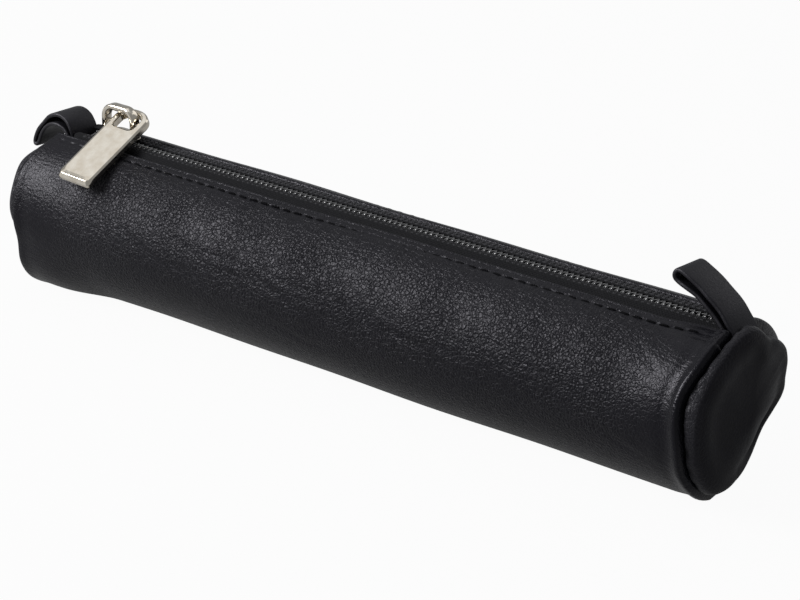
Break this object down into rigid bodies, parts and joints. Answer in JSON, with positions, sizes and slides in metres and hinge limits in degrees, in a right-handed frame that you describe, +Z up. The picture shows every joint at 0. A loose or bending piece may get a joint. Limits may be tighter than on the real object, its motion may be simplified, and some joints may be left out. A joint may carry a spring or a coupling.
{
  "type": "pen case",
  "caption": "Tubular leather pen case with a coil zip along the top, metal slider and pull, puffed round end panels and a folded strap loop at each end.",
  "frame": {"origin": "middle of the flattened underside that the case rests on", "axes": "+X along the tube towards the end where the zip finishes opening, +Z up through the zip, -Y the front that the pull hangs over"},
  "size_m": [0.2183, 0.04, 0.0486],
  "materials": {
    "black_leather": "grained",
    "lining_fabric": "woven",
    "zip_tape": "woven",
    "nylon_coil": "gloss",
    "nickel": "polished",
    "black_thread": "twisted"
  },
  "bodies": {
    "case": {"leather_body": "black_leather", "left_end_panel": "black_leather", "right_end_panel": "black_leather", "body_lining": "lining_fabric", "left_end_lining": "lining_fabric", "right_end_lining": "lining_fabric", "left_seam_thread": "black_thread", "right_seam_thread": "black_thread", "front_zip_tape": "zip_tape", "rear_zip_tape": "zip_tape", "front_stitching": "black_thread", "rear_stitching": "black_thread"},
    "front_edge": {"front_tape_edge": "zip_tape", "front_coil": "nylon_coil"},
    "rear_edge": {"rear_tape_edge": "zip_tape", "rear_coil": "nylon_coil"},
    "slider": {"slider_body": "nickel", "slider_bridge": "nickel"},
    "pull": {"pull_tab": "nickel"},
    "left_loop": {"left_loop": "black_leather"},
    "right_loop": {"right_loop": "black_leather"}
  },
  "joints": [
    {"name": "slider_slide", "type": "slide", "parent": "case", "child": "slider", "axis": [1, 0, 0], "range_m": [0, 0.147], "deforming": ["front_tape_edge", "front_coil", "rear_tape_edge", "rear_coil"]},
    {"name": "pull_swivel", "type": "hinge", "parent": "slider", "child": "pull", "pos_m": [-0.08095, 0, 0.04358], "axis": [-0.181, -0.2474, 0.9519], "range_deg": [0, 91.8]},
    {"name": "front_edge_fold", "type": "hinge", "parent": "case", "child": "front_edge", "pos_m": [0, -0.0049, 0.03658], "axis": [1, 0, 0], "range_deg": [0, 75]},
    {"name": "rear_edge_fold", "type": "hinge", "parent": "case", "child": "rear_edge", "pos_m": [0, 0.0049, 0.03658], "axis": [-1, 0, 0], "range_deg": [0, 75]},
    {"name": "left_loop_swing", "type": "hinge", "parent": "case", "child": "left_loop", "pos_m": [-0.0997, 0, 0.03668], "axis": [0, 1, 0], "range_deg": [0, 50]},
    {"name": "right_loop_swing", "type": "hinge", "parent": "case", "child": "right_loop", "pos_m": [0.0997, 0, 0.03668], "axis": [0, 1, 0], "range_deg": [0, 60]}
  ],
  "couplings": [
    {"joint": "front_edge_fold", "follows": "slider_slide", "rad_per_m": 8.9039},
    {"joint": "rear_edge_fold", "follows": "slider_slide", "rad_per_m": 8.9039}
  ]
}
